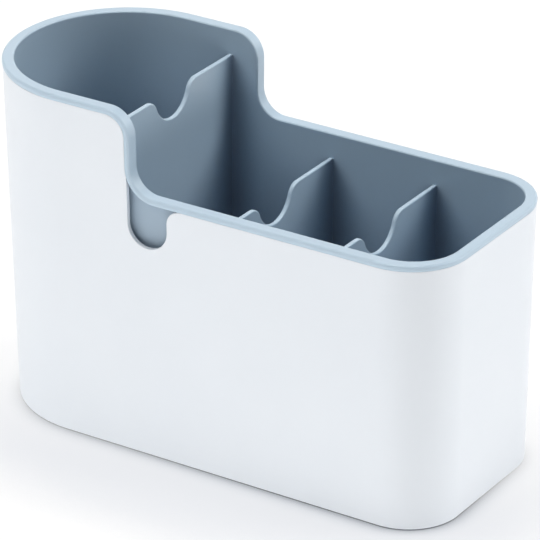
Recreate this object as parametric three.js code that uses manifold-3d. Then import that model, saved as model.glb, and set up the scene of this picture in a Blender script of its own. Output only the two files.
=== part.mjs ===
// Utensil holder: a white drip tub, a lift-out drainer with a rolled rim and three dividers, and four pads.
// Millimetres, +Z up, standing on z = 0. The tall round end is at -X, the low square end at +X.
import * as THREE from "three";
import { mergeVertices, toCreasedNormals } from "three/addons/utils/BufferGeometryUtils.js";
import Module from "manifold-3d";

const wasm = await Module();
wasm.setup();

// Plan of the tub at its bottom edge; every wall leans out by the draft.
const footLength = 243.3;
const footWidth = 103.6;
const cornerRadius = 25.6;
const wallDraft = THREE.MathUtils.degToRad(1.09);

// Heights above the table.
const padProud = 0.4;
const lowRim = 129.3;
const stepRise = 38.4;

// The step between the two rim heights, drawn on the rim's top face.
const crownRadius = 12.4;
const hollowRadius = 12;
const stepPastDivider = 14.6;

// Bays, along the length from the low end.
const endBay = 57.8;
const bayPitch = 54.5;

// Walls and the clearances between tub and drainer.
const tubWall = 2.2;
const tubFloor = 2.4;
const tubEdgeRadius = 0.7;
const tubFloorFillet = 3;
const linerSideGap = 1.8;
const linerEndGap = 0.9;
const linerWall = 1.9;
const linerFloor = 2;
const linerEdgeRadius = 6;
const dripDepth = 6.8;
const rimSeatGap = 0.3;

// Rolled rim: two rounds outside with a narrow flat between them, a small round inside.
const rimThickness = 3;
const rimOuterRadius = 1.15;
const rimEdgeRadius = 0.8;
const rimProud = 0.25;
const rimBead = 0.15;

// Dividers and the saddle in their top edges.
const dividerThickness = 2.2;
const dividerDrop = 11.9;
const dividerFillet = 0.5;
const saddleRadius = 13.5;
const saddleDepth = 13.3;
const saddleShoulder = 7;

// Finger notch under the rim at the foot of the step.
const notchWidth = 20.6;
const notchBehindStep = 1.9;
const notchSide = 3.5;
const notchFlare = 7.5;

// Drain slots in the drainer's floor.
const slotLength = 30;
const slotWidth = 3.2;
const slotPitch = 14;
const slotsPerBay = 5;

// Pads in recesses of the tub's underside.
const padRadius = 7;
const padRecess = 1;
const padClearance = 0.3;
const padRounding = 0.4;
const padFromRoundEnd = 46;
const padFromLowEnd = 28;
const padFromSide = 22;

// Steps of the curves.
const roundEndSteps = 36;
const cornerSteps = 10;
const stepSteps = 10;
const edgeSteps = 3;
const saddleSteps = 12;
const slotSteps = 5;
const padSteps = 32;

// Places that follow from the sizes above.
const tallRim = lowRim + stepRise;
const lowEnd = footLength / 2;
const dividerPlaces = [2, 1, 0].map((bay) => lowEnd - endBay - bay * bayPitch);
const stepPlace = dividerPlaces[0] + stepPastDivider;
const tubUnderside = padProud;
const linerUnderside = tubUnderside + tubFloor + dripDepth;
const linerOutside = tubWall + linerSideGap;
const linerLonger = linerSideGap - linerEndGap;
const linerInside = linerOutside + linerWall;
const overTop = tallRim + rimThickness;
const quarter = Math.PI / 2;

// How far the tub's outer wall stands out of its bottom edge at a height.
function draftAt(z) {
  return (z - tubUnderside) * Math.tan(wallDraft);
}

// Points of an arc in a plane, both ends included.
function arc(x, y, radius, from, to, steps) {
  const at = (i) => from + ((to - from) * i) / steps;
  const point = (a) => new THREE.Vector2(x + radius * Math.cos(a), y + radius * Math.sin(a));
  return Array.from({ length: steps + 1 }, (_, i) => point(at(i)));
}

// The plan as three arcs, round end, front corner and back corner: grown all round, then longer at both ends.
function planArcs(grow, longer) {
  const half = footWidth / 2 + grow;
  const corner = cornerRadius + grow;
  const end = lowEnd + longer + grow;
  const cornerX = end - corner;
  const roundX = half - end;
  return [
    arc(roundX, 0, half, quarter, 3 * quarter, roundEndSteps),
    arc(cornerX, corner - half, corner, -quarter, 0, cornerSteps),
    arc(cornerX, half - corner, corner, 0, quarter, cornerSteps),
  ];
}

// A closed solid from stacked rings of one point count, each ring flat at its own height.
function loft(rings) {
  const count = rings[0].points.length;
  const vertices = rings.flatMap(({ points, z }) => points.flatMap((p) => [p.x, p.y, z]));
  const triangles = [];
  for (let r = 0; r + 1 < rings.length; r++) {
    for (let i = 0; i < count; i++) {
      const a = r * count + i;
      const b = r * count + ((i + 1) % count);
      triangles.push(a, b, b + count, a, b + count, a + count);
    }
  }
  const top = (rings.length - 1) * count;
  for (const [a, b, c] of THREE.ShapeUtils.triangulateShape(rings[0].points, [])) triangles.push(c, b, a);
  for (const [a, b, c] of THREE.ShapeUtils.triangulateShape(rings.at(-1).points, [])) {
    triangles.push(top + a, top + b, top + c);
  }
  return solidFrom(new Float32Array(vertices), new Uint32Array(triangles));
}

// A closed tube through rings of 3-D points; the last ring joins the first.
function hoop(rings) {
  const count = rings[0].length;
  const vertices = rings.flatMap((ring) => ring.flatMap((p) => p.toArray()));
  const triangles = [];
  rings.forEach((_, r) => {
    const next = (r + 1) % rings.length;
    for (let i = 0; i < count; i++) {
      const j = (i + 1) % count;
      const a = r * count + i;
      const b = r * count + j;
      const c = next * count + j;
      const d = next * count + i;
      triangles.push(a, b, c, a, c, d);
    }
  });
  return solidFrom(new Float32Array(vertices), new Uint32Array(triangles));
}

function solidFrom(vertProperties, triVerts) {
  return new wasm.Manifold(new wasm.Mesh({ numProp: 3, vertProperties, triVerts }));
}

function solidOf(geometry) {
  geometry.deleteAttribute("normal");
  geometry.deleteAttribute("uv");
  const merged = mergeVertices(geometry);
  return solidFrom(merged.attributes.position.array, new Uint32Array(merged.index.array));
}

function meshOf(name, solid, material) {
  const { vertProperties, triVerts } = solid.getMesh();
  const geometry = new THREE.BufferGeometry();
  geometry.setAttribute("position", new THREE.BufferAttribute(vertProperties, 3));
  geometry.setIndex(new THREE.BufferAttribute(triVerts, 1));
  const mesh = new THREE.Mesh(toCreasedNormals(geometry, Math.PI / 6), material);
  mesh.name = name;
  return mesh;
}

// An outline in X and Z, extruded right across the holder.
function acrossWidth(points) {
  const depth = footWidth * 2;
  const geometry = new THREE.ExtrudeGeometry(new THREE.Shape(points), { depth, bevelEnabled: false });
  return solidOf(geometry.rotateX(quarter).translate(0, depth / 2, 0));
}

// An outline in Y and Z, extruded along X and centred there.
function acrossDivider(points, x, depth) {
  const geometry = new THREE.ExtrudeGeometry(new THREE.Shape(points), { depth, bevelEnabled: false });
  const turn = new THREE.Matrix4().makeBasis(
    new THREE.Vector3(0, 1, 0),
    new THREE.Vector3(0, 0, 1),
    new THREE.Vector3(1, 0, 0),
  );
  return solidOf(geometry.applyMatrix4(turn).translate(x - depth / 2, 0, 0));
}

// A tub of the plan's shape: a wall set in from the outside, with a rounded bottom edge.
function tubSolid(inset, longer, bottom, top, edge) {
  const rounding = arc(0, bottom + edge, edge, -quarter, 0, edgeSteps * 2);
  const ring = (back, z) => ({ points: planArcs(draftAt(z) - inset - back, longer).flat(), z });
  return loft([...rounding.map((p) => ring(edge - p.x, p.y)), ring(0, top)]);
}

// The step in X and Z, from the tall side down to the low side, set below the rim's top face.
function stepLine(below) {
  const flank = stepPlace - below;
  const crown = crownRadius - below;
  const hollow = hollowRadius + below;
  return [
    ...arc(flank - crown, tallRim - below - crown, crown, quarter, 0, stepSteps),
    ...arc(flank + hollow, lowRim - below + hollow, hollow, 2 * quarter, 3 * quarter, stepSteps),
  ];
}

// Everything above the step line.
function aboveStep(below) {
  const line = stepLine(below);
  const far = footLength;
  return acrossWidth([
    new THREE.Vector2(-far, tallRim - below),
    ...line,
    new THREE.Vector2(far, lowRim - below),
    new THREE.Vector2(far, overTop + rimThickness),
    new THREE.Vector2(-far, overTop + rimThickness),
  ]);
}

// The round-bottomed cut that lets a fingertip under the rim, in both long walls.
function fingerNotch() {
  const flareFoot = lowRim - rimThickness - rimSeatGap - notchFlare;
  const radius = notchWidth / 2;
  const left = stepPlace - notchBehindStep;
  const right = left + notchWidth;
  return acrossWidth([
    new THREE.Vector2(left, tallRim),
    ...arc(left + radius, flareFoot - notchSide, radius, 2 * quarter, 4 * quarter, saddleSteps),
    ...arc(right + notchFlare, flareFoot, notchFlare, 2 * quarter, quarter, stepSteps),
    new THREE.Vector2(right + notchFlare, tallRim),
  ]);
}

const padPlaces = {
  foot_front_left: [padFromRoundEnd - lowEnd, padFromSide - footWidth / 2],
  foot_front_right: [lowEnd - padFromLowEnd, padFromSide - footWidth / 2],
  foot_back_left: [padFromRoundEnd - lowEnd, footWidth / 2 - padFromSide],
  foot_back_right: [lowEnd - padFromLowEnd, footWidth / 2 - padFromSide],
};

// A recess in the underside; it starts below the face so that it cuts it cleanly.
function padRecessAt([x, y]) {
  const start = tubUnderside - padRecess;
  const height = 2 * padRecess;
  const radius = padRadius + padClearance;
  const disc = new THREE.CylinderGeometry(radius, radius, height, padSteps);
  return solidOf(disc.rotateX(quarter).translate(x, y, start + height / 2));
}

function outerShell() {
  const floor = tubUnderside + tubFloor;
  let shell = tubSolid(0, 0, tubUnderside, overTop, tubEdgeRadius);
  shell = shell.subtract(tubSolid(tubWall, 0, floor, overTop + rimThickness, tubFloorFillet));
  shell = shell.subtract(aboveStep(rimThickness + rimSeatGap));
  shell = shell.subtract(fingerNotch());
  for (const place of Object.values(padPlaces)) shell = shell.subtract(padRecessAt(place));
  return shell;
}

// The rim's top outer line: its points, and the outward direction at each, once round from the round end.
function rimLine() {
  const onArc = (points, z, centre) =>
    points.map((p) => ({
      at: new THREE.Vector3(p.x, p.y, z),
      out: new THREE.Vector3(p.x - centre.x, p.y - centre.y, 0).normalize(),
    }));
  const onSide = (points, side) =>
    points.map((p) => ({
      at: new THREE.Vector3(p.x, side * (footWidth / 2 + draftAt(p.y)), p.y),
      out: new THREE.Vector3(0, side, 0),
    }));
  const [roundEnd] = planArcs(draftAt(tallRim), 0);
  const [, frontCorner, backCorner] = planArcs(draftAt(lowRim), 0);
  const roundCentre = { x: roundEnd[0].x, y: 0 };
  const frontCentre = { x: frontCorner[0].x, y: frontCorner.at(-1).y };
  const backCentre = { x: backCorner.at(-1).x, y: backCorner[0].y };
  return [
    ...onArc(roundEnd, tallRim, roundCentre),
    ...onSide(stepLine(0), -1),
    ...onArc(frontCorner, lowRim, frontCentre),
    ...onArc(backCorner, lowRim, backCentre),
    ...onSide(stepLine(0).reverse(), 1),
  ];
}

// The rim's section: x outwards from the tub's wall, y up from the rim's top face.
// Its inner edge keeps to the drainer's wall, which comes nearer to the tub's at both ends.
function rimSection(nearer) {
  const roll = rimOuterRadius;
  const r = rimEdgeRadius;
  const inner = nearer - linerInside - rimBead + r;
  return [
    ...arc(rimProud - roll, -roll, roll, quarter, 0, edgeSteps),
    ...arc(rimProud - roll, roll - rimThickness, roll, 0, -quarter, edgeSteps),
    ...arc(inner, r - rimThickness, r, -quarter, -2 * quarter, edgeSteps),
    ...arc(inner, -r, r, 2 * quarter, quarter, edgeSteps),
  ];
}

// The rim's section carried round the plan and down through the step, square to its line all the way.
function rim() {
  const line = rimLine();
  const rings = line.map(({ at, out }, i) => {
    const before = line.at(i - 1).at;
    const after = line[(i + 1) % line.length].at;
    const along = after.clone().sub(before).normalize();
    const up = out.clone().cross(along).normalize();
    const section = rimSection(linerLonger * Math.abs(out.x));
    return section.map((p) => at.clone().addScaledVector(out, p.x).addScaledVector(up, p.y));
  });
  return hoop(rings);
}

// A divider's plan at a height: a plate that flares into both long walls.
function dividerPlan(x, z) {
  const half = dividerThickness / 2;
  const reach = footWidth / 2 + draftAt(z) - linerInside;
  const root = reach + linerWall / 2;
  const f = dividerFillet;
  const right = [
    new THREE.Vector2(half + f, -root),
    ...arc(half + f, f - reach, f, -quarter, -2 * quarter, edgeSteps),
    ...arc(half + f, reach - f, f, 2 * quarter, quarter, edgeSteps),
    new THREE.Vector2(half + f, root),
  ];
  const left = right.map((p) => new THREE.Vector2(-p.x, -p.y));
  return [...right, ...left].map((p) => new THREE.Vector2(x + p.x, p.y));
}

// The shallow U cut in a divider's top edge: round shoulders running into one round saddle.
function saddleOutline(top) {
  const centre = top - saddleDepth + saddleRadius;
  const rise = centre - top + saddleShoulder;
  const shoulder = Math.sqrt((saddleRadius + saddleShoulder) ** 2 - rise ** 2);
  const tilt = Math.atan2(rise, shoulder);
  const over = top + rimThickness;
  return [
    new THREE.Vector2(-shoulder, over),
    ...arc(-shoulder, top - saddleShoulder, saddleShoulder, quarter, tilt, saddleSteps / 2),
    ...arc(0, centre, saddleRadius, 2 * quarter + tilt, 4 * quarter - tilt, saddleSteps),
    ...arc(shoulder, top - saddleShoulder, saddleShoulder, 2 * quarter - tilt, quarter, saddleSteps / 2),
    new THREE.Vector2(shoulder, over),
  ];
}

function divider(x) {
  const top = (x < stepPlace ? tallRim : lowRim) - dividerDrop;
  const bottom = linerUnderside + linerFloor / 2;
  const plate = loft([bottom, top].map((z) => ({ points: dividerPlan(x, z), z })));
  return plate.subtract(acrossDivider(saddleOutline(top), x, dividerThickness * 3));
}

// Slots with round ends through the drainer's floor, one row in each bay.
function drainSlots() {
  const r = slotWidth / 2;
  const run = slotLength / 2 - r;
  const shape = new THREE.Shape([
    ...arc(run, 0, r, -quarter, quarter, slotSteps),
    ...arc(-run, 0, r, quarter, 3 * quarter, slotSteps),
  ]);
  const depth = 3 * linerFloor;
  const tallBay = (linerInside - linerLonger - lowEnd + dividerPlaces[0]) / 2;
  const bays = [tallBay, ...dividerPlaces.map((x) => x + bayPitch / 2)];
  return bays.flatMap((x) =>
    Array.from({ length: slotsPerBay }, (_, i) => {
      const y = (i - (slotsPerBay - 1) / 2) * slotPitch;
      const slot = new THREE.ExtrudeGeometry(shape, { depth, bevelEnabled: false });
      return solidOf(slot.translate(x, y, linerUnderside - linerFloor));
    }),
  );
}

function innerLiner() {
  const floor = linerUnderside + linerFloor;
  const cavityEdge = linerEdgeRadius - linerWall;
  let liner = tubSolid(linerOutside, linerLonger, linerUnderside, overTop, linerEdgeRadius);
  liner = liner.subtract(tubSolid(linerInside, linerLonger, floor, overTop + rimThickness, cavityEdge));
  liner = liner.subtract(aboveStep(rimThickness / 2));
  liner = liner.add(rim());
  for (const x of dividerPlaces) liner = liner.add(divider(x));
  for (const slot of drainSlots()) liner = liner.subtract(slot);
  return liner;
}

// A round pad with a softened lower edge, standing on the table.
function pad() {
  const height = padProud + padRecess;
  const profile = [
    new THREE.Vector2(0, 0),
    ...arc(padRadius - padRounding, padRounding, padRounding, -quarter, 0, edgeSteps),
    new THREE.Vector2(padRadius, height),
    new THREE.Vector2(0, height),
  ];
  return new THREE.LatheGeometry(profile, padSteps).rotateX(quarter);
}

const whitePlastic = new THREE.MeshStandardMaterial({ color: 0xf1f3f6, roughness: 0.45, metalness: 0 });
const greyBluePlastic = new THREE.MeshStandardMaterial({ color: 0xaebfcb, roughness: 0.38, metalness: 0 });
const padRubber = new THREE.MeshStandardMaterial({ color: 0xc9ced3, roughness: 0.85, metalness: 0 });

const utensilHolder = new THREE.Group();
utensilHolder.add(meshOf("outer_shell", outerShell(), whitePlastic));
utensilHolder.add(meshOf("inner_liner", innerLiner(), greyBluePlastic));
for (const [name, [x, y]] of Object.entries(padPlaces)) {
  const foot = new THREE.Mesh(pad(), padRubber);
  foot.name = name;
  foot.position.set(x, y, 0);
  utensilHolder.add(foot);
}

// The tall end leans out further than the low end, so the whole is centred by its own box.
const box = new THREE.Box3().setFromObject(utensilHolder);
utensilHolder.position.x = -(box.min.x + box.max.x) / 2;

export default utensilHolder;
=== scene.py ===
from math import atan2, cos, degrees, radians, sin, sqrt, tan

import bmesh
import bpy
from mathutils import Matrix, Vector


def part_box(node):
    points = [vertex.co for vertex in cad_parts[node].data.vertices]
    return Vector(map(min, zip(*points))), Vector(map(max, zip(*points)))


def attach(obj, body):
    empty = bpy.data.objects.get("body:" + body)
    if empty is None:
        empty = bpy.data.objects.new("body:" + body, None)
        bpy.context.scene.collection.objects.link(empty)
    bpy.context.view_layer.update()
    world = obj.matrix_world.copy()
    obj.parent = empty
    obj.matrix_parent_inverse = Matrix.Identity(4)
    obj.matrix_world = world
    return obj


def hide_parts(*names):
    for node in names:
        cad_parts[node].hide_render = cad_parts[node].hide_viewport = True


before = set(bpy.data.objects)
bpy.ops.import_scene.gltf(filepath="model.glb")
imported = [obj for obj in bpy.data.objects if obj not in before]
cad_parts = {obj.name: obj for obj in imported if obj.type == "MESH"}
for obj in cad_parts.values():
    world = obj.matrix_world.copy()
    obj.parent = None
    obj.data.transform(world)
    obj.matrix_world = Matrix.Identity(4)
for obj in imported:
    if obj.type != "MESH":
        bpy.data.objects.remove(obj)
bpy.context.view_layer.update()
print("frame loaded:", ", ".join(sorted(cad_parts)))

mm = 0.001

holder = {
    "length": 243.3,       # plan at the tub's bottom edge; every size is in mm
    "width": 103.6,
    "corner": 25.6,        # plan radius of the low end's corners
    "draft": 1.09,         # degrees that every wall leans out
    "underside": 0.4,      # tub's bottom above the table
    "lowRim": 129.3,
    "tallRim": 167.7,
    "stepAt": -30.55,      # flank of the step, along the length
    "crown": 12.4,         # round at the top of the step
    "hollow": 12.0,        # round at its foot
    "padFromTall": 46.0,   # middle of a pad from the tall end, the low end and the side
    "padFromLow": 28.0,
    "padFromSide": 22.0,
    "roundSteps": 112,     # steps round the tall end
    "cornerSteps": 36,
    "stepSteps": 28,
    "footSteps": 8,        # steps of the round between a wall and its floor
}

halfLength = holder["length"] / 2
halfWidth = holder["width"] / 2
tallPadX = holder["padFromTall"] - halfLength
lowPadX = halfLength - holder["padFromLow"]
frontPadY = holder["padFromSide"] - halfWidth


def lean(z):
    return (z - holder["underside"]) * tan(radians(holder["draft"]))


def quarterTurns(steps):
    return [radians(90 * i / steps) for i in range(steps + 1)]


def arcPoints(x, y, radius, start, end, steps):
    # places on an arc, each with the way out from its middle
    turns = [radians(start + (end - start) * i / steps) for i in range(steps + 1)]
    return [(x + radius * cos(a), y + radius * sin(a), cos(a), sin(a)) for a in turns]


def flipped(points):
    # the same places with the way in, for the inside of a curve
    return [(x, y, -wayX, -wayY) for x, y, wayX, wayY in points]


# spots: places on the plan's bottom edge, once round from the back of the tall end
cornerX = halfLength - holder["corner"]
cornerY = halfWidth - holder["corner"]
roundSpots = arcPoints(halfWidth - halfLength, 0, halfWidth, 90, 270, holder["roundSteps"])
frontSpots = arcPoints(cornerX, -cornerY, holder["corner"], -90, 0, holder["cornerSteps"])
backSpots = arcPoints(cornerX, cornerY, holder["corner"], 0, 90, holder["cornerSteps"])
planSpots = roundSpots + frontSpots + backSpots

# the tall end leans further out, so the frame's middle is not the plan's
footLow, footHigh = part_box("foot_front_left")
planShift = (footLow.x + footHigh.x) / 2 / mm - tallPadX


def newVert(bm, x, y, z):
    return bm.verts.new(Vector((x + planShift, y, z)) * mm)


def wallVert(bm, spot, z, out, longer=0):
    # longer: how much further it stands at both ends than along the sides
    x, y, wayX, wayY = spot
    reach = lean(z) + out + longer * abs(wayX)
    return newVert(bm, x + wayX * reach, y + wayY * reach, z)


def stepLine(below):
    # x, z and the way up out of the edge, from the tall side down to the low side
    flank = holder["stepAt"] - below
    crown = holder["crown"] - below
    hollow = holder["hollow"] + below
    steps = holder["stepSteps"]
    top = arcPoints(flank - crown, holder["tallRim"] - below - crown, crown, 90, 0, steps)
    foot = arcPoints(flank + hollow, holder["lowRim"] - below + hollow, hollow, 180, 270, steps)
    return top + flipped(foot)


def edgePlace(spot, z, up=(0, 1), free=0, inPlan=True):
    # free: how far the edge has left the rim, from 0 to 1; inPlan: whether the plan has this spot
    return {"spot": spot, "z": z, "up": up, "free": free, "inPlan": inPlan}


def edgeLoop(line, below, opens=None):
    # once round a top edge, with the line of the step in both long sides
    tallZ, lowZ = holder["tallRim"] - below, holder["lowRim"] - below
    opens = opens or [0] * len(line)
    sides = [(x, z, (upX, upZ), free) for (x, z, upX, upZ), free in zip(line, opens)]
    loop = [edgePlace(spot, tallZ) for spot in roundSpots]
    loop += [edgePlace((x, -halfWidth, 0, -1), z, up, free, False) for x, z, up, free in sides]
    loop += [edgePlace(spot, lowZ) for spot in frontSpots + backSpots]
    loop += [edgePlace((x, halfWidth, 0, 1), z, up, free, False) for x, z, up, free in reversed(sides)]
    return loop


def joinRows(bm, rows):
    for row, after in zip(rows, rows[1:]):
        for i in range(len(row) - 1):
            bm.faces.new((row[i], after[i], after[i + 1], row[i + 1]))


def joinRings(bm, rings):
    for ring, after in zip(rings, rings[1:]):
        for i in range(len(ring)):
            j = (i + 1) % len(ring)
            bm.faces.new((ring[i], ring[j], after[j], after[i]))


def edgeStrip(bm, loop, sectionAt):
    # a section, as places out and up, carried along the top edge
    rows = []
    for place in loop:
        (x, y, wayX, wayY), (upX, upZ) = place["spot"], place["up"]
        rows.append([
            wallVert(bm, (x + upX * up, y, wayX, wayY), place["z"] + upZ * up, out)
            for out, up in sectionAt(place)
        ])
    joinRows(bm, rows + rows[:1])
    return rows


def wallSide(bm, loop, topEdge, inset, foot, edge, longer=0):
    # a wall hung from the top edge, then its rounded foot; gives the ring where the floor starts
    rings = []
    for a in quarterTurns(holder["footSteps"]):
        z, back = foot + edge * (1 - sin(a)), edge * (1 - cos(a))
        rings.append([wallVert(bm, spot, z, -inset - back, longer) for spot in planSpots])
    anchors = [i for i, place in enumerate(loop) if place["inPlan"]]
    for k, first in enumerate(anchors):
        after = (k + 1) % len(anchors)
        last = anchors[after] if after else len(loop)
        over = [topEdge[i % len(loop)] for i in range(first, last + 1)]
        bm.faces.new([rings[0][after], rings[0][k]] + over)
    joinRings(bm, rings)
    return rings[-1]


def fillFlat(bm, loops):
    # one flat face with holes
    edges = []
    for loop in loops:
        for vert, after in zip(loop, loop[1:] + loop[:1]):
            edges.append(bm.edges.get((vert, after)) or bm.edges.new((vert, after)))
    bmesh.ops.triangle_fill(bm, use_beauty=True, edges=edges)


def newObject(name, bm, *finishes):
    mesh = bpy.data.meshes.new(name)
    bm.to_mesh(mesh)
    bm.free()
    for material in finishes:
        mesh.materials.append(material)
    made = bpy.data.objects.new(name, mesh)
    bpy.context.scene.collection.objects.link(made)
    return made


shading = {
    "crease": 50,          # degrees from which an edge stays sharp
    "weight": 100,         # pull of large faces on the shading of the rounds beside them
}


def newPiece(name, bm, *finishes):
    bmesh.ops.recalc_face_normals(bm, faces=bm.faces[:])
    for face in bm.faces:
        face.smooth = True
    for edge in bm.edges:
        edge.smooth = edge.calc_face_angle(0) < radians(shading["crease"])
    piece = newObject(name, bm, *finishes)
    normals = piece.modifiers.new("even shading", "WEIGHTED_NORMAL")
    normals.keep_sharp = True
    normals.weight = shading["weight"]
    return piece


# finishes, all moulded: faint clouding of the colour, uneven gloss, fine grain; the liner also has shade
# painted into its colour

moulded = {
    "noiseSpan": (0.3, 0.7),      # where the noise has most of its values
    "cloudDetail": 3,
    "glossDetail": 2,
    "grainDetail": 2,
    "grainDepth": 0.1,            # mm
    "skySamples": 16,
    "shadeFreeTops": (0.55, 0.9),      # upward turn of a face over which the painted shade fades out
}


def newMaterial(name):
    material = bpy.data.materials.new(name)
    material.use_nodes = True
    tree = material.node_tree
    return material, tree, tree.nodes["Principled BSDF"]


def combined(tree, operation, first, second):
    node = tree.nodes.new("ShaderNodeMath")
    node.operation = operation
    tree.links.new(first, node.inputs[0])
    tree.links.new(second, node.inputs[1])
    return node.outputs[0]


def mapped(tree, value, span, levels=(0, 1), change="LINEAR"):
    node = tree.nodes.new("ShaderNodeMapRange")
    node.interpolation_type = change
    node.inputs["From Min"].default_value, node.inputs["From Max"].default_value = span
    node.inputs["To Min"].default_value, node.inputs["To Max"].default_value = levels
    tree.links.new(value, node.inputs["Value"])
    return node.outputs["Result"]


def mixed(tree, share, first, second, kind="RGBA", blend="MIX"):
    # share, first and second are fixed values or come from other nodes
    node = tree.nodes.new("ShaderNodeMix")
    node.data_type, node.blend_type = kind, blend
    for socket, source in (("Factor", share), ("A", first), ("B", second)):
        if isinstance(source, bpy.types.NodeSocket):
            tree.links.new(source, node.inputs[socket])
        else:
            node.inputs[socket].default_value = source
    return node.outputs["Result"]


def heightOf(tree, vector):
    parts = tree.nodes.new("ShaderNodeSeparateXYZ")
    tree.links.new(vector, parts.inputs["Vector"])
    return parts.outputs["Z"]


def openSky(tree, reach, local):
    # share of the sky that nothing within reach hides
    sky = tree.nodes.new("ShaderNodeAmbientOcclusion")
    sky.samples = moulded["skySamples"]
    sky.only_local = local
    sky.inputs["Distance"].default_value = reach
    return sky.outputs["AO"]


def tintFor(tree, share, tints):
    ramp = tree.nodes.new("ShaderNodeValToRGB")
    stops = ramp.color_ramp.elements
    while len(stops) < len(tints):
        stops.new(1)
    for stop, (position, tint) in zip(stops, tints):
        stop.position = position
        stop.color = (*tint, 1)
    tree.links.new(share, ramp.inputs["Fac"])
    return ramp.outputs["Color"]


def paintShade(tree, colour, reach, tints):
    # painted shade: the colour is darkened where little sky is open, in the creases and deep down in the
    # bays, but not on top edges
    side = tree.nodes.new("ShaderNodeNewGeometry")
    upward = mapped(tree, heightOf(tree, side.outputs["Normal"]), moulded["shadeFreeTops"])
    clear = combined(tree, "MAXIMUM", openSky(tree, reach, True), upward)
    return mixed(tree, 1, colour, tintFor(tree, clear, tints), blend="MULTIPLY")


def finish(name, look):
    material, tree, shader = newMaterial(name)
    shader.inputs["IOR"].default_value = look["ior"]
    place = tree.nodes.new("ShaderNodeTexCoord")

    def noise(kind):
        texture = tree.nodes.new("ShaderNodeTexNoise")
        texture.inputs["Scale"].default_value = look[kind + "Scale"]
        texture.inputs["Detail"].default_value = moulded[kind + "Detail"]
        tree.links.new(place.outputs["Object"], texture.inputs["Vector"])
        return texture.outputs["Fac"]

    span = moulded["noiseSpan"]
    colour = tintFor(tree, noise("cloud"), tuple(zip(span, (look["dark"], look["light"]))))
    # shade painted into the colour, by the share of open sky
    for reach, tints in look.get("paintedCreaseShade", ()):
        colour = paintShade(tree, colour, reach, tints)
    tree.links.new(colour, shader.inputs["Base Color"])
    tree.links.new(mapped(tree, noise("gloss"), span, look["rough"]), shader.inputs["Roughness"])
    bump = tree.nodes.new("ShaderNodeBump")
    bump.inputs["Strength"].default_value = look["grain"]
    bump.inputs["Distance"].default_value = moulded["grainDepth"] * mm
    tree.links.new(noise("grain"), bump.inputs["Height"])
    tree.links.new(bump.outputs["Normal"], shader.inputs["Normal"])
    return material


shellWhite = finish("shell white satin", {
    "dark": (0.815, 0.850, 0.892),
    "light": (0.838, 0.870, 0.908),
    "cloudScale": 14,
    "rough": (0.38, 0.42),
    "glossScale": 420,
    "grain": 0.12,
    "grainScale": 2600,
    "ior": 1.49,
})
linerBlueGrey = finish("liner blue grey", {
    "dark": (0.490, 0.612, 0.716),
    "light": (0.510, 0.632, 0.734),
    "cloudScale": 18,
    "rough": (0.31, 0.34),
    "glossScale": 420,
    "grain": 0.10,
    "grainScale": 2600,
    "ior": 1.49,
    "paintedCreaseShade": (           # painted shade: reach in metres, and the darkening tint for each share of open sky
        (0.035, (
            (0.54, (0.58, 0.57, 0.60)),
            (0.62, (0.70, 0.71, 0.74)),
            (0.75, (1, 1, 1)),
        )),
        (0.15, (
            (0.12, (0.66, 0.68, 0.72)),
            (0.22, (0.80, 0.85, 0.90)),
            (0.32, (0.89, 0.93, 0.96)),
            (0.55, (0.89, 0.93, 0.96)),
            (0.85, (1, 1, 1)),
        )),
    ),
})
# drainer's outside: really rougher, and its colour darker as painted shade of the recess behind the tub
linerMattShaded = finish("liner blue grey matt painted shade", {
    "dark": (0.352, 0.450, 0.544),
    "light": (0.372, 0.470, 0.564),
    "cloudScale": 18,
    "rough": (0.48, 0.56),
    "glossScale": 420,
    "grain": 0.20,
    "grainScale": 2200,
    "ior": 1.49,
})
padRubber = finish("pad rubber", {
    "dark": (0.50, 0.53, 0.56),
    "light": (0.58, 0.61, 0.64),
    "cloudScale": 90,
    "rough": (0.70, 0.85),
    "glossScale": 400,
    "grain": 0.6,
    "grainScale": 3200,
    "ior": 1.5,
})
print("finishes made")

# rolled rim of the drainer, which the tub's top edge follows

rim = {
    "thickness": 3.0,
    "proud": 0.25,         # past the tub's wall
    "outerRound": 1.15,
    "innerRound": 0.8,
    "root": 0.5,           # fillet under it
    "seatGap": 0.06,       # to the tub's edge
    "outerSteps": 10,      # for each quarter of the outer round
    "innerSteps": 8,
    "rootSteps": 4,
}
rollOut = rim["proud"] - rim["outerRound"]           # middle of the lower round, out from the tub's wall
rollDown = rim["thickness"] - rim["outerRound"]      # and down from the rim's top face
seatRadius = rim["outerRound"] + rim["seatGap"]
seatDrop = sqrt(seatRadius ** 2 - rollOut ** 2)      # from that middle down to the tub's edge
tubTop = rollDown + seatDrop                         # tub's edge below the rim's top face

# white tub

shell = {
    "wall": 2.2,
    "floor": 2.4,
    "edge": 0.7,           # round of the bottom edge outside
    "floorFillet": 3.0,
    "lip": 0.25,           # blunted lip outside the rim's seat
    "lipTurn": 5,          # degrees of the seat that it takes
    "innerRound": 0.3,     # inside corner of the top edge
    "cutRound": 0.35,      # edges of the finger notch
    "seatSteps": 6,
    "innerSteps": 5,
    "notchWidth": 20.6,
    "notchBehindStep": 1.9,
    "notchBottom": 104.7,
    "notchFlare": 7.5,     # round where it opens into the low edge
    "notchFade": 0.6,      # drop over which the seat turns into a plain edge there
    "notchCorner": 1.6,    # round where it meets the step
    "notchClear": 1.2,     # from that round down to where its edge is plain
    "notchCornerSteps": 8,
    "recessRadius": 7.3,
    "recessDepth": 1.0,
    "recessSteps": 48,
    "padPlaces": {
        "foot_front_left": (tallPadX, frontPadY),
        "foot_front_right": (lowPadX, frontPadY),
        "foot_back_left": (tallPadX, -frontPadY),
        "foot_back_right": (lowPadX, -frontPadY),
    },
}


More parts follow.
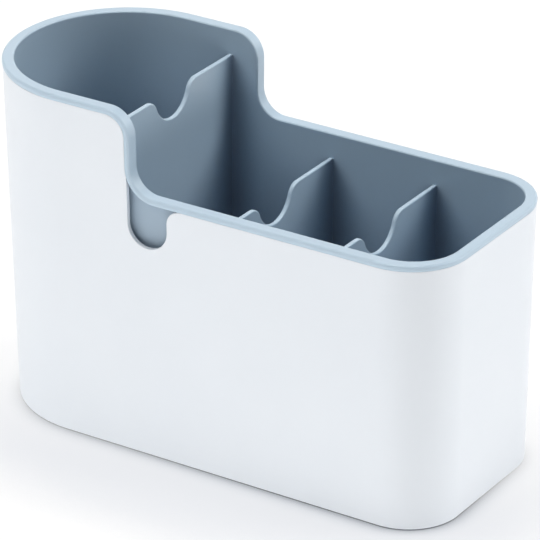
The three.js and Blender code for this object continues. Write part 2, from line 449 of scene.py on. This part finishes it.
def shellEdgeLine():
    # the step, cut at its foot by the finger notch, and how far each place has left the rim
    steps = holder["stepSteps"]
    left = holder["stepAt"] - shell["notchBehindStep"]
    radius, flare = shell["notchWidth"] / 2, shell["notchFlare"]
    lowEdge = holder["lowRim"] - tubTop
    hollow = holder["hollow"] + tubTop
    hollowX, hollowZ = holder["stepAt"] - tubTop + hollow, lowEdge + hollow
    # a small round tangent to the hollow and to the notch's left side
    nip = shell["notchCorner"]
    nipX = left - nip
    nipZ = hollowZ - sqrt((hollow + nip) ** 2 - (hollowX - nipX) ** 2)
    turn = degrees(atan2(hollowZ - nipZ, hollowX - nipX))

    def aboveNotch(z, upX, upZ):
        return z > hollowZ or degrees(atan2(-upZ, -upX)) % 360 < 180 + turn

    kept = [place for place in stepLine(tubTop) if aboveNotch(*place[1:])]
    corner = arcPoints(nipX, nipZ, nip, turn, 0, shell["notchCornerSteps"])
    side = [(left, nipZ - shell["notchClear"], 1, 0)]
    bottom = arcPoints(left + radius, shell["notchBottom"] + radius, radius, 180, 360, steps)
    mouth = arcPoints(left + 2 * radius + flare, lowEdge - flare, flare, 180, 90, steps)
    opens = [0] * len(kept + corner) + [1] * len(side + bottom)
    opens += [min(1, (lowEdge - z) / shell["notchFade"]) for x, z, upX, upZ in mouth]
    return kept + corner + side + flipped(bottom) + mouth, opens


def shellSection(place):
    # tub's top edge: hollowed to seat the roll of the rim, plain and square round the notch
    free, wall = place["free"], shell["wall"]
    cut, inner = shell["cutRound"], shell["innerRound"]
    seatSteps, innerSteps = shell["seatSteps"], shell["innerSteps"]
    meet = degrees(atan2(-seatDrop, -rollOut)) - shell["lipTurn"]
    seat = [(0, -shell["lip"], 0, 0)]
    seat += arcPoints(rollOut, seatDrop, seatRadius, meet, -90, seatSteps)
    seat += arcPoints(inner - wall, seatDrop - seatRadius - inner, inner, 90, 180, innerSteps)
    plain = arcPoints(-cut, -cut, cut, 0, 90, seatSteps + 1)      # as many places as lip and seat
    plain += arcPoints(cut - wall, -cut, cut, 90, 180, innerSteps)
    return [(a[0] + (b[0] - a[0]) * free, a[1] + (b[1] - a[1]) * free) for a, b in zip(seat, plain)]


def ringOf(bm, x, y, z, radius, steps):
    return [newVert(bm, px, py, z) for px, py, wayX, wayY in arcPoints(x, y, radius, 0, 360, steps)[:-1]]


def makeShell():
    bm = bmesh.new()
    wall, base = shell["wall"], holder["underside"]
    line, opens = shellEdgeLine()
    loop = edgeLoop(line, tubTop, opens)
    rows = edgeStrip(bm, loop, shellSection)
    outerEdge, innerEdge = [row[0] for row in rows], [row[-1] for row in rows]
    bottom = wallSide(bm, loop, outerEdge, 0, base, shell["edge"])
    inside = wallSide(bm, loop, innerEdge, wall, base + shell["floor"], shell["floorFillet"])
    fillFlat(bm, [inside])
    mouths = []
    for x, y in shell["padPlaces"].values():
        mouth, roof = (
            ringOf(bm, x, y, z, shell["recessRadius"], shell["recessSteps"])
            for z in (base, base + shell["recessDepth"])
        )
        joinRings(bm, [mouth, roof])
        bm.faces.new(roof)
        mouths.append(mouth)
    fillFlat(bm, [bottom] + mouths)
    return newPiece("shell_moulding", bm, shellWhite)


shellPiece = makeShell()
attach(shellPiece, "tub")
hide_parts("outer_shell")
print("white tub:", len(shellPiece.data.polygons), "faces")

# blue-grey drainer: walls, rolled rim and slotted floor

drainer = {
    "outside": 4.0,        # its outer face, in from the tub's along the sides
    "longer": 0.9,         # nearer to the tub at both ends by this
    "wall": 2.05,
    "underside": 9.6,
    "floor": 2.0,
    "edge": 6.0,           # round of the bottom edge outside
    "slotLength": 30.0,
    "slotWidth": 3.2,
    "slotPitch": 14.0,
    "slotsPerBay": 5,
    "slotSoftening": 0.35,
    "slotSteps": 10,
    "softSteps": 3,
    "bays": (-80.9, -17.9, 36.6, 91.1),      # their middles along the length
}


def rimSection(place):
    # from the wall inside, over the rim, to the wall outside: out from the tub's wall, up from the top face
    r, roll, root, thick = (rim[key] for key in ("innerRound", "outerRound", "root", "thickness"))
    wallOut = drainer["longer"] * abs(place["spot"][2]) - drainer["outside"]
    points = arcPoints(wallOut - drainer["wall"] + r, -r, r, 180, 90, rim["innerSteps"])
    points += arcPoints(rollOut, -roll, roll, 90, 0, rim["outerSteps"])
    points += arcPoints(rollOut, -rollDown, roll, 0, -90, rim["outerSteps"])
    points += arcPoints(wallOut + root, -thick - root, root, 90, 180, rim["rootSteps"])
    return [(out, up) for out, up, wayOut, wayUp in points]


def slotRing(bm, x, y, z, grow):
    r, steps = drainer["slotWidth"] / 2, drainer["slotSteps"]
    run = drainer["slotLength"] / 2 - r
    points = arcPoints(x + run, y, r + grow, -90, 90, steps)
    points += arcPoints(x - run, y, r + grow, 90, 270, steps)
    return [newVert(bm, px, py, z) for px, py, wayX, wayY in points]


def addTray(bm):
    loop = edgeLoop(stepLine(0), 0)
    rows = edgeStrip(bm, loop, rimSection)
    outside, wall, edge, longer = (drainer[key] for key in ("outside", "wall", "edge", "longer"))
    under = drainer["underside"]
    top = under + drainer["floor"]
    innerEdge, outerEdge = [row[0] for row in rows], [row[-1] for row in rows]
    inside = wallSide(bm, loop, innerEdge, outside + wall, top, edge - wall, longer)
    polished = set(bm.faces)
    bottom = wallSide(bm, loop, outerEdge, outside, under, edge, longer)
    for face in set(bm.faces) - polished:
        face.material_index = 1      # matt outside, its colour darker as painted shade
    soft, count = drainer["slotSoftening"], drainer["slotsPerBay"]
    upper, lower = [], []
    for x in drainer["bays"]:
        for i in range(count):
            y = (i - (count - 1) / 2) * drainer["slotPitch"]
            rings = [
                slotRing(bm, x, y, top - soft * (1 - cos(a)), soft * (1 - sin(a)))
                for a in quarterTurns(drainer["softSteps"])
            ]
            rings.append(slotRing(bm, x, y, under, 0))
            joinRings(bm, rings)
            upper.append(rings[0])
            lower.append(rings[-1])
    fillFlat(bm, [inside] + upper)
    fillFlat(bm, [bottom] + lower)


# its dividers, moulded into walls and floor

divider = {
    "thickness": 2.2,
    "drop": 11.9,          # top edge below the rim beside it
    "round": 0.7,          # round of the top edge
    "fillet": 0.12,        # where it meets walls and floor
    "saddleRadius": 13.5,
    "saddleDepth": 13.3,
    "shoulder": 7.0,
    "root": 0.6,           # how far it runs into walls and floor
    "roundSteps": 6,
    "filletSteps": 6,
    "saddleSteps": 32,
    "shoulderSteps": 10,
    "places": ((-45.15, "tallRim"), (9.35, "lowRim"), (63.85, "lowRim")),
}


def saddleLine(top):
    # y, z and the way up along the top edge, between the straight ends
    radius, shoulder = divider["saddleRadius"], divider["shoulder"]
    middle = top - divider["saddleDepth"] + radius
    rise = middle - top + shoulder
    run = sqrt((radius + shoulder) ** 2 - rise ** 2)
    tilt = degrees(atan2(rise, run))
    saddle = arcPoints(0, middle, radius, 180 + tilt, 360 - tilt, divider["saddleSteps"])
    before = arcPoints(-run, top - shoulder, shoulder, 90, tilt, divider["shoulderSteps"])
    after = arcPoints(run, top - shoulder, shoulder, 180 - tilt, 90, divider["shoulderSteps"])
    return before + flipped(saddle[1:-1]) + after      # the saddle's ends are the shoulders' ends


def addDivider(bm, x, top):
    half, r, f, root = divider["thickness"] / 2, divider["round"], divider["fillet"], divider["root"]
    inset = drainer["outside"] + drainer["wall"]
    floor = drainer["underside"] + drainer["floor"]
    turns = quarterTurns(divider["filletSteps"])

    def reach(z):
        return halfWidth + lean(z) - inset

    # stations along the top edge: y, z, way up, half thickness
    start = [(-reach(top) - root, top, 0, 1, half + f)]
    start += [(-reach(top) + f - f * cos(a), top, 0, 1, half + f - f * sin(a)) for a in turns]
    middle = [(y, z, upY, upZ, half) for y, z, upY, upZ in saddleLine(top)]
    end = [(-y, z, -upY, upZ, wide) for y, z, upY, upZ, wide in reversed(start)]
    stations = start + middle + end

    rows = []
    for y, z, upY, upZ, wide in stations:
        section = arcPoints(r - wide, -r, r, 180, 90, divider["roundSteps"])
        section += arcPoints(wide - r, -r, r, 90, 0, divider["roundSteps"])
        rows.append([newVert(bm, x + px, y + upY * up, z + upZ * up) for px, up, wayX, wayUp in section])
    joinRows(bm, rows)

    # faces of the plate down to the fillet at the floor, one side after the other
    feet = []
    ends = list(range(len(start))) + list(range(len(stations) - len(end), len(stations)))
    for side, column in ((-1, 0), (1, -1)):
        levels = []
        for a in turns:
            z, spread = floor + f * (1 - sin(a)), f * (1 - cos(a))
            level = []
            for y, topZ, upY, upZ, wide in (stations[i] for i in ends):
                pull = (reach(top) - reach(z)) * (1 if y > 0 else -1)
                level.append(newVert(bm, x + side * (wide + spread), y - pull, z))
            levels.append(level)
        foot = [vert.co / mm for vert in levels[-1]]
        levels.append([newVert(bm, spot.x - planShift, spot.y, floor - root) for spot in foot])
        for k, (i, j) in enumerate(zip(ends, ends[1:])):
            bm.faces.new([levels[0][k + 1], levels[0][k]] + [rows[n][column] for n in range(i, j + 1)])
            for level, after in zip(levels, levels[1:]):
                bm.faces.new((level[k], level[k + 1], after[k + 1], after[k]))
        feet.append(levels)
    bm.faces.new(feet[0][-1] + feet[1][-1][::-1])
    for k in (0, -1):
        left, right = ([level[k] for level in levels] for levels in feet)
        bm.faces.new(left[::-1] + rows[k] + right)


def makeDrainer():
    bm = bmesh.new()
    addTray(bm)
    for x, rimName in divider["places"]:
        addDivider(bm, x, holder[rimName] - divider["drop"])
    return newPiece("drainer_moulding", bm, linerBlueGrey, linerMattShaded)


drainerPiece = makeDrainer()
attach(drainerPiece, "drainer")
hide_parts("inner_liner")
print("drainer with", len(divider["places"]), "dividers:", len(drainerPiece.data.polygons), "faces")

# pads under the tub

pad = {
    "radius": 7.0,
    "height": 1.39,
    "edge": 0.35,          # round of the edge on the table
    "dish": 0.12,          # hollow of its face
    "dishAt": (0.5, 0.85),      # shares of the hollow's radius between which it is that deep
    "rib": 1.6,            # flat ring round the hollow
    "chamfer": 0.25,       # of the edge in the recess
    "edgeSteps": 6,
    "steps": 72,
}


def makePad(name, x, y):
    bm = bmesh.new()
    radius, edge, height, chamfer = (pad[key] for key in ("radius", "edge", "height", "chamfer"))
    hollow = radius - edge - pad["rib"]
    profile = [(hollow * share, pad["dish"]) for share in pad["dishAt"]] + [(hollow, 0)]
    profile += [place[:2] for place in arcPoints(radius - edge, edge, edge, -90, 0, pad["edgeSteps"])]
    profile += [(radius, height - chamfer), (radius - chamfer, height)]
    rings = [ringOf(bm, x, y, z, r, pad["steps"]) for r, z in profile]
    joinRings(bm, rings)
    bm.faces.new(rings[0])
    bm.faces.new(rings[-1])
    return newPiece(name, bm, padRubber)


for node, (x, y) in shell["padPlaces"].items():
    piece = makePad(node.replace("foot", "pad"), x, y)
    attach(piece, "tub")
    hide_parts(node)
print("pads made")

# camera at the photograph's place

camera = {
    "azimuth": 33.068,
    "elevation": 26.028,
    "roll": -0.264,
    "target": (0.0255, 0, 78.123),
    "distance": 1871.87,
    "lens": 277.65,
    "sensor": 36,
    "shift": (0.02603, -0.00049),
    "sees": 50,            # metres
}


def wayTo(azimuth, elevation):
    az, el = radians(azimuth), radians(elevation)
    return Vector((sin(az) * cos(el), -cos(az) * cos(el), sin(el)))


def makeCamera():
    az, roll = radians(camera["azimuth"]), radians(camera["roll"])
    back = wayTo(camera["azimuth"], camera["elevation"])
    right = Vector((cos(az), sin(az), 0))
    up = back.cross(right)
    right, up = cos(roll) * right + sin(roll) * up, cos(roll) * up - sin(roll) * right
    data = bpy.data.cameras.new("camera")
    data.lens = camera["lens"]
    data.sensor_width = camera["sensor"]
    data.shift_x, data.shift_y = camera["shift"]
    data.clip_end = camera["sees"]
    eye = bpy.data.objects.new("camera", data)
    turn = Matrix((right, up, back)).transposed().to_4x4()
    place = (Vector(camera["target"]) + back * camera["distance"]) * mm
    eye.matrix_world = Matrix.Translation(place) @ turn
    bpy.context.scene.collection.objects.link(eye)
    bpy.context.scene.camera = eye


makeCamera()
print("camera set")

# floor, lamps and surroundings

studio = {                        # sizes in metres
    "floorSize": 8.0,
    "floorSquares": 8,
    "floorRough": 0.9,
    "floorGloss": 0.1,
    "floorColour": (0.92, 0.93, 0.94),
    "floorLight": {               # soft, from below
        "towards": 322,
        "span": (-0.15, 0.15),
        "levels": (0.42, 0.72),
    },
    "floorShown": (0.16, 0.155, 0.148),      # its colour for the camera
    "floorGlow": 0.885,           # over that, dimmed only by the painted shadows
    "paintedShadows": (                  # painted shadows: reach, and the tint for each share of open sky
        (0.011, (
            (0.30, (0.05, 0.06, 0.08)),
            (0.50, (0.43, 0.45, 0.48)),
            (0.62, (0.71, 0.73, 0.75)),
            (0.78, (0.92, 0.93, 0.94)),
            (0.97, (1, 1, 1)),
        )),
        (0.10, (
            (0.50, (0.76, 0.78, 0.82)),
            (0.76, (0.78, 0.80, 0.84)),
            (0.95, (1, 1, 1)),
        )),
    ),
    "paintedShadowStrength": {              # painted shadows, strongest towards the front
        "towards": 14,
        "span": (-0.025, 0.07),
        "levels": (0.36, 1),
    },
    "sky": 0.10,
    "backdrop": (26, 44),         # elevations over which the white backdrop ends
    "lamps": {                    # azimuth, elevation, watts
        "front softbox": (324, 44, 17),
        "top softbox": (270, 84, 56),
        "rear softbox": (128, 38, 40),
    },
    "lampDistance": 3.0,
    "lampSize": 1.5,
    "lampAim": (0, 0, 0.08),
}


def showsBackdrop(tree):
    # 1 for what the camera sees itself, in gloss or through glass
    path = tree.nodes.new("ShaderNodeLightPath")
    either = combined(tree, "MAXIMUM", path.outputs["Is Camera Ray"], path.outputs["Is Glossy Ray"])
    return combined(tree, "MAXIMUM", either, path.outputs["Is Transmission Ray"])


def acrossFloor(tree, change):
    # a level that changes over a span of metres, measured towards an azimuth
    place = tree.nodes.new("ShaderNodeTexCoord")
    along = tree.nodes.new("ShaderNodeVectorMath")
    along.operation = "DOT_PRODUCT"
    along.inputs[1].default_value = wayTo(change["towards"], 0)
    tree.links.new(place.outputs["Object"], along.inputs[0])
    return mapped(tree, along.outputs["Value"], change["span"], change["levels"], "SMOOTHSTEP")


def makeFloor():
    bm = bmesh.new()
    squares = studio["floorSquares"]
    bmesh.ops.create_grid(bm, x_segments=squares, y_segments=squares, size=studio["floorSize"] / 2)
    material, tree, shader = newMaterial("floor pale")
    shader.inputs["Roughness"].default_value = studio["floorRough"]
    shader.inputs["Specular IOR Level"].default_value = studio["floorGloss"]
    seen = showsBackdrop(tree)
    colour = mixed(tree, seen, (*studio["floorColour"], 1), (*studio["floorShown"], 1))
    # painted shadows: the glow is darkened where little sky is open, most towards the front
    near, far = (tintFor(tree, openSky(tree, reach, False), tints) for reach, tints in studio["paintedShadows"])
    both = mixed(tree, 1, near, far, blend="MULTIPLY")
    depth = combined(tree, "MULTIPLY", seen, acrossFloor(tree, studio["paintedShadowStrength"]))
    shade = mixed(tree, depth, (1, 1, 1, 1), both)
    glow = mixed(tree, seen, acrossFloor(tree, studio["floorLight"]), studio["floorGlow"], "FLOAT")
    for socket, source in (("Base Color", colour), ("Emission Color", shade), ("Emission Strength", glow)):
        tree.links.new(source, shader.inputs[socket])
    floor = newObject("floor", bm, material)


def makeSky():
    world = bpy.data.worlds.new("studio")
    world.use_nodes = True
    tree = world.node_tree
    background = tree.nodes["Background"]
    background.inputs["Color"].default_value = (1, 1, 1, 1)
    place = tree.nodes.new("ShaderNodeTexCoord")
    span = [sin(radians(elevation)) for elevation in studio["backdrop"]]
    wall = mapped(tree, heightOf(tree, place.outputs["Generated"]), span, (1, 0), "SMOOTHSTEP")
    shown = combined(tree, "MULTIPLY", showsBackdrop(tree), wall)
    level = mixed(tree, shown, studio["sky"], 1, "FLOAT")
    tree.links.new(level, background.inputs["Strength"])
    bpy.context.scene.world = world


def makeLamps():
    for name, (azimuth, elevation, watts) in studio["lamps"].items():
        back = wayTo(azimuth, elevation)
        data = bpy.data.lights.new(name, "AREA")
        data.shape = "SQUARE"
        data.size = studio["lampSize"]
        data.energy = watts
        lamp = bpy.data.objects.new(name, data)
        lamp.location = Vector(studio["lampAim"]) + back * studio["lampDistance"]
        lamp.rotation_euler = back.to_track_quat("Z", "Y").to_euler()
        bpy.context.scene.collection.objects.link(lamp)


makeFloor()
makeSky()
makeLamps()
bpy.context.scene.view_settings.view_transform = "Standard"
print("studio lit")
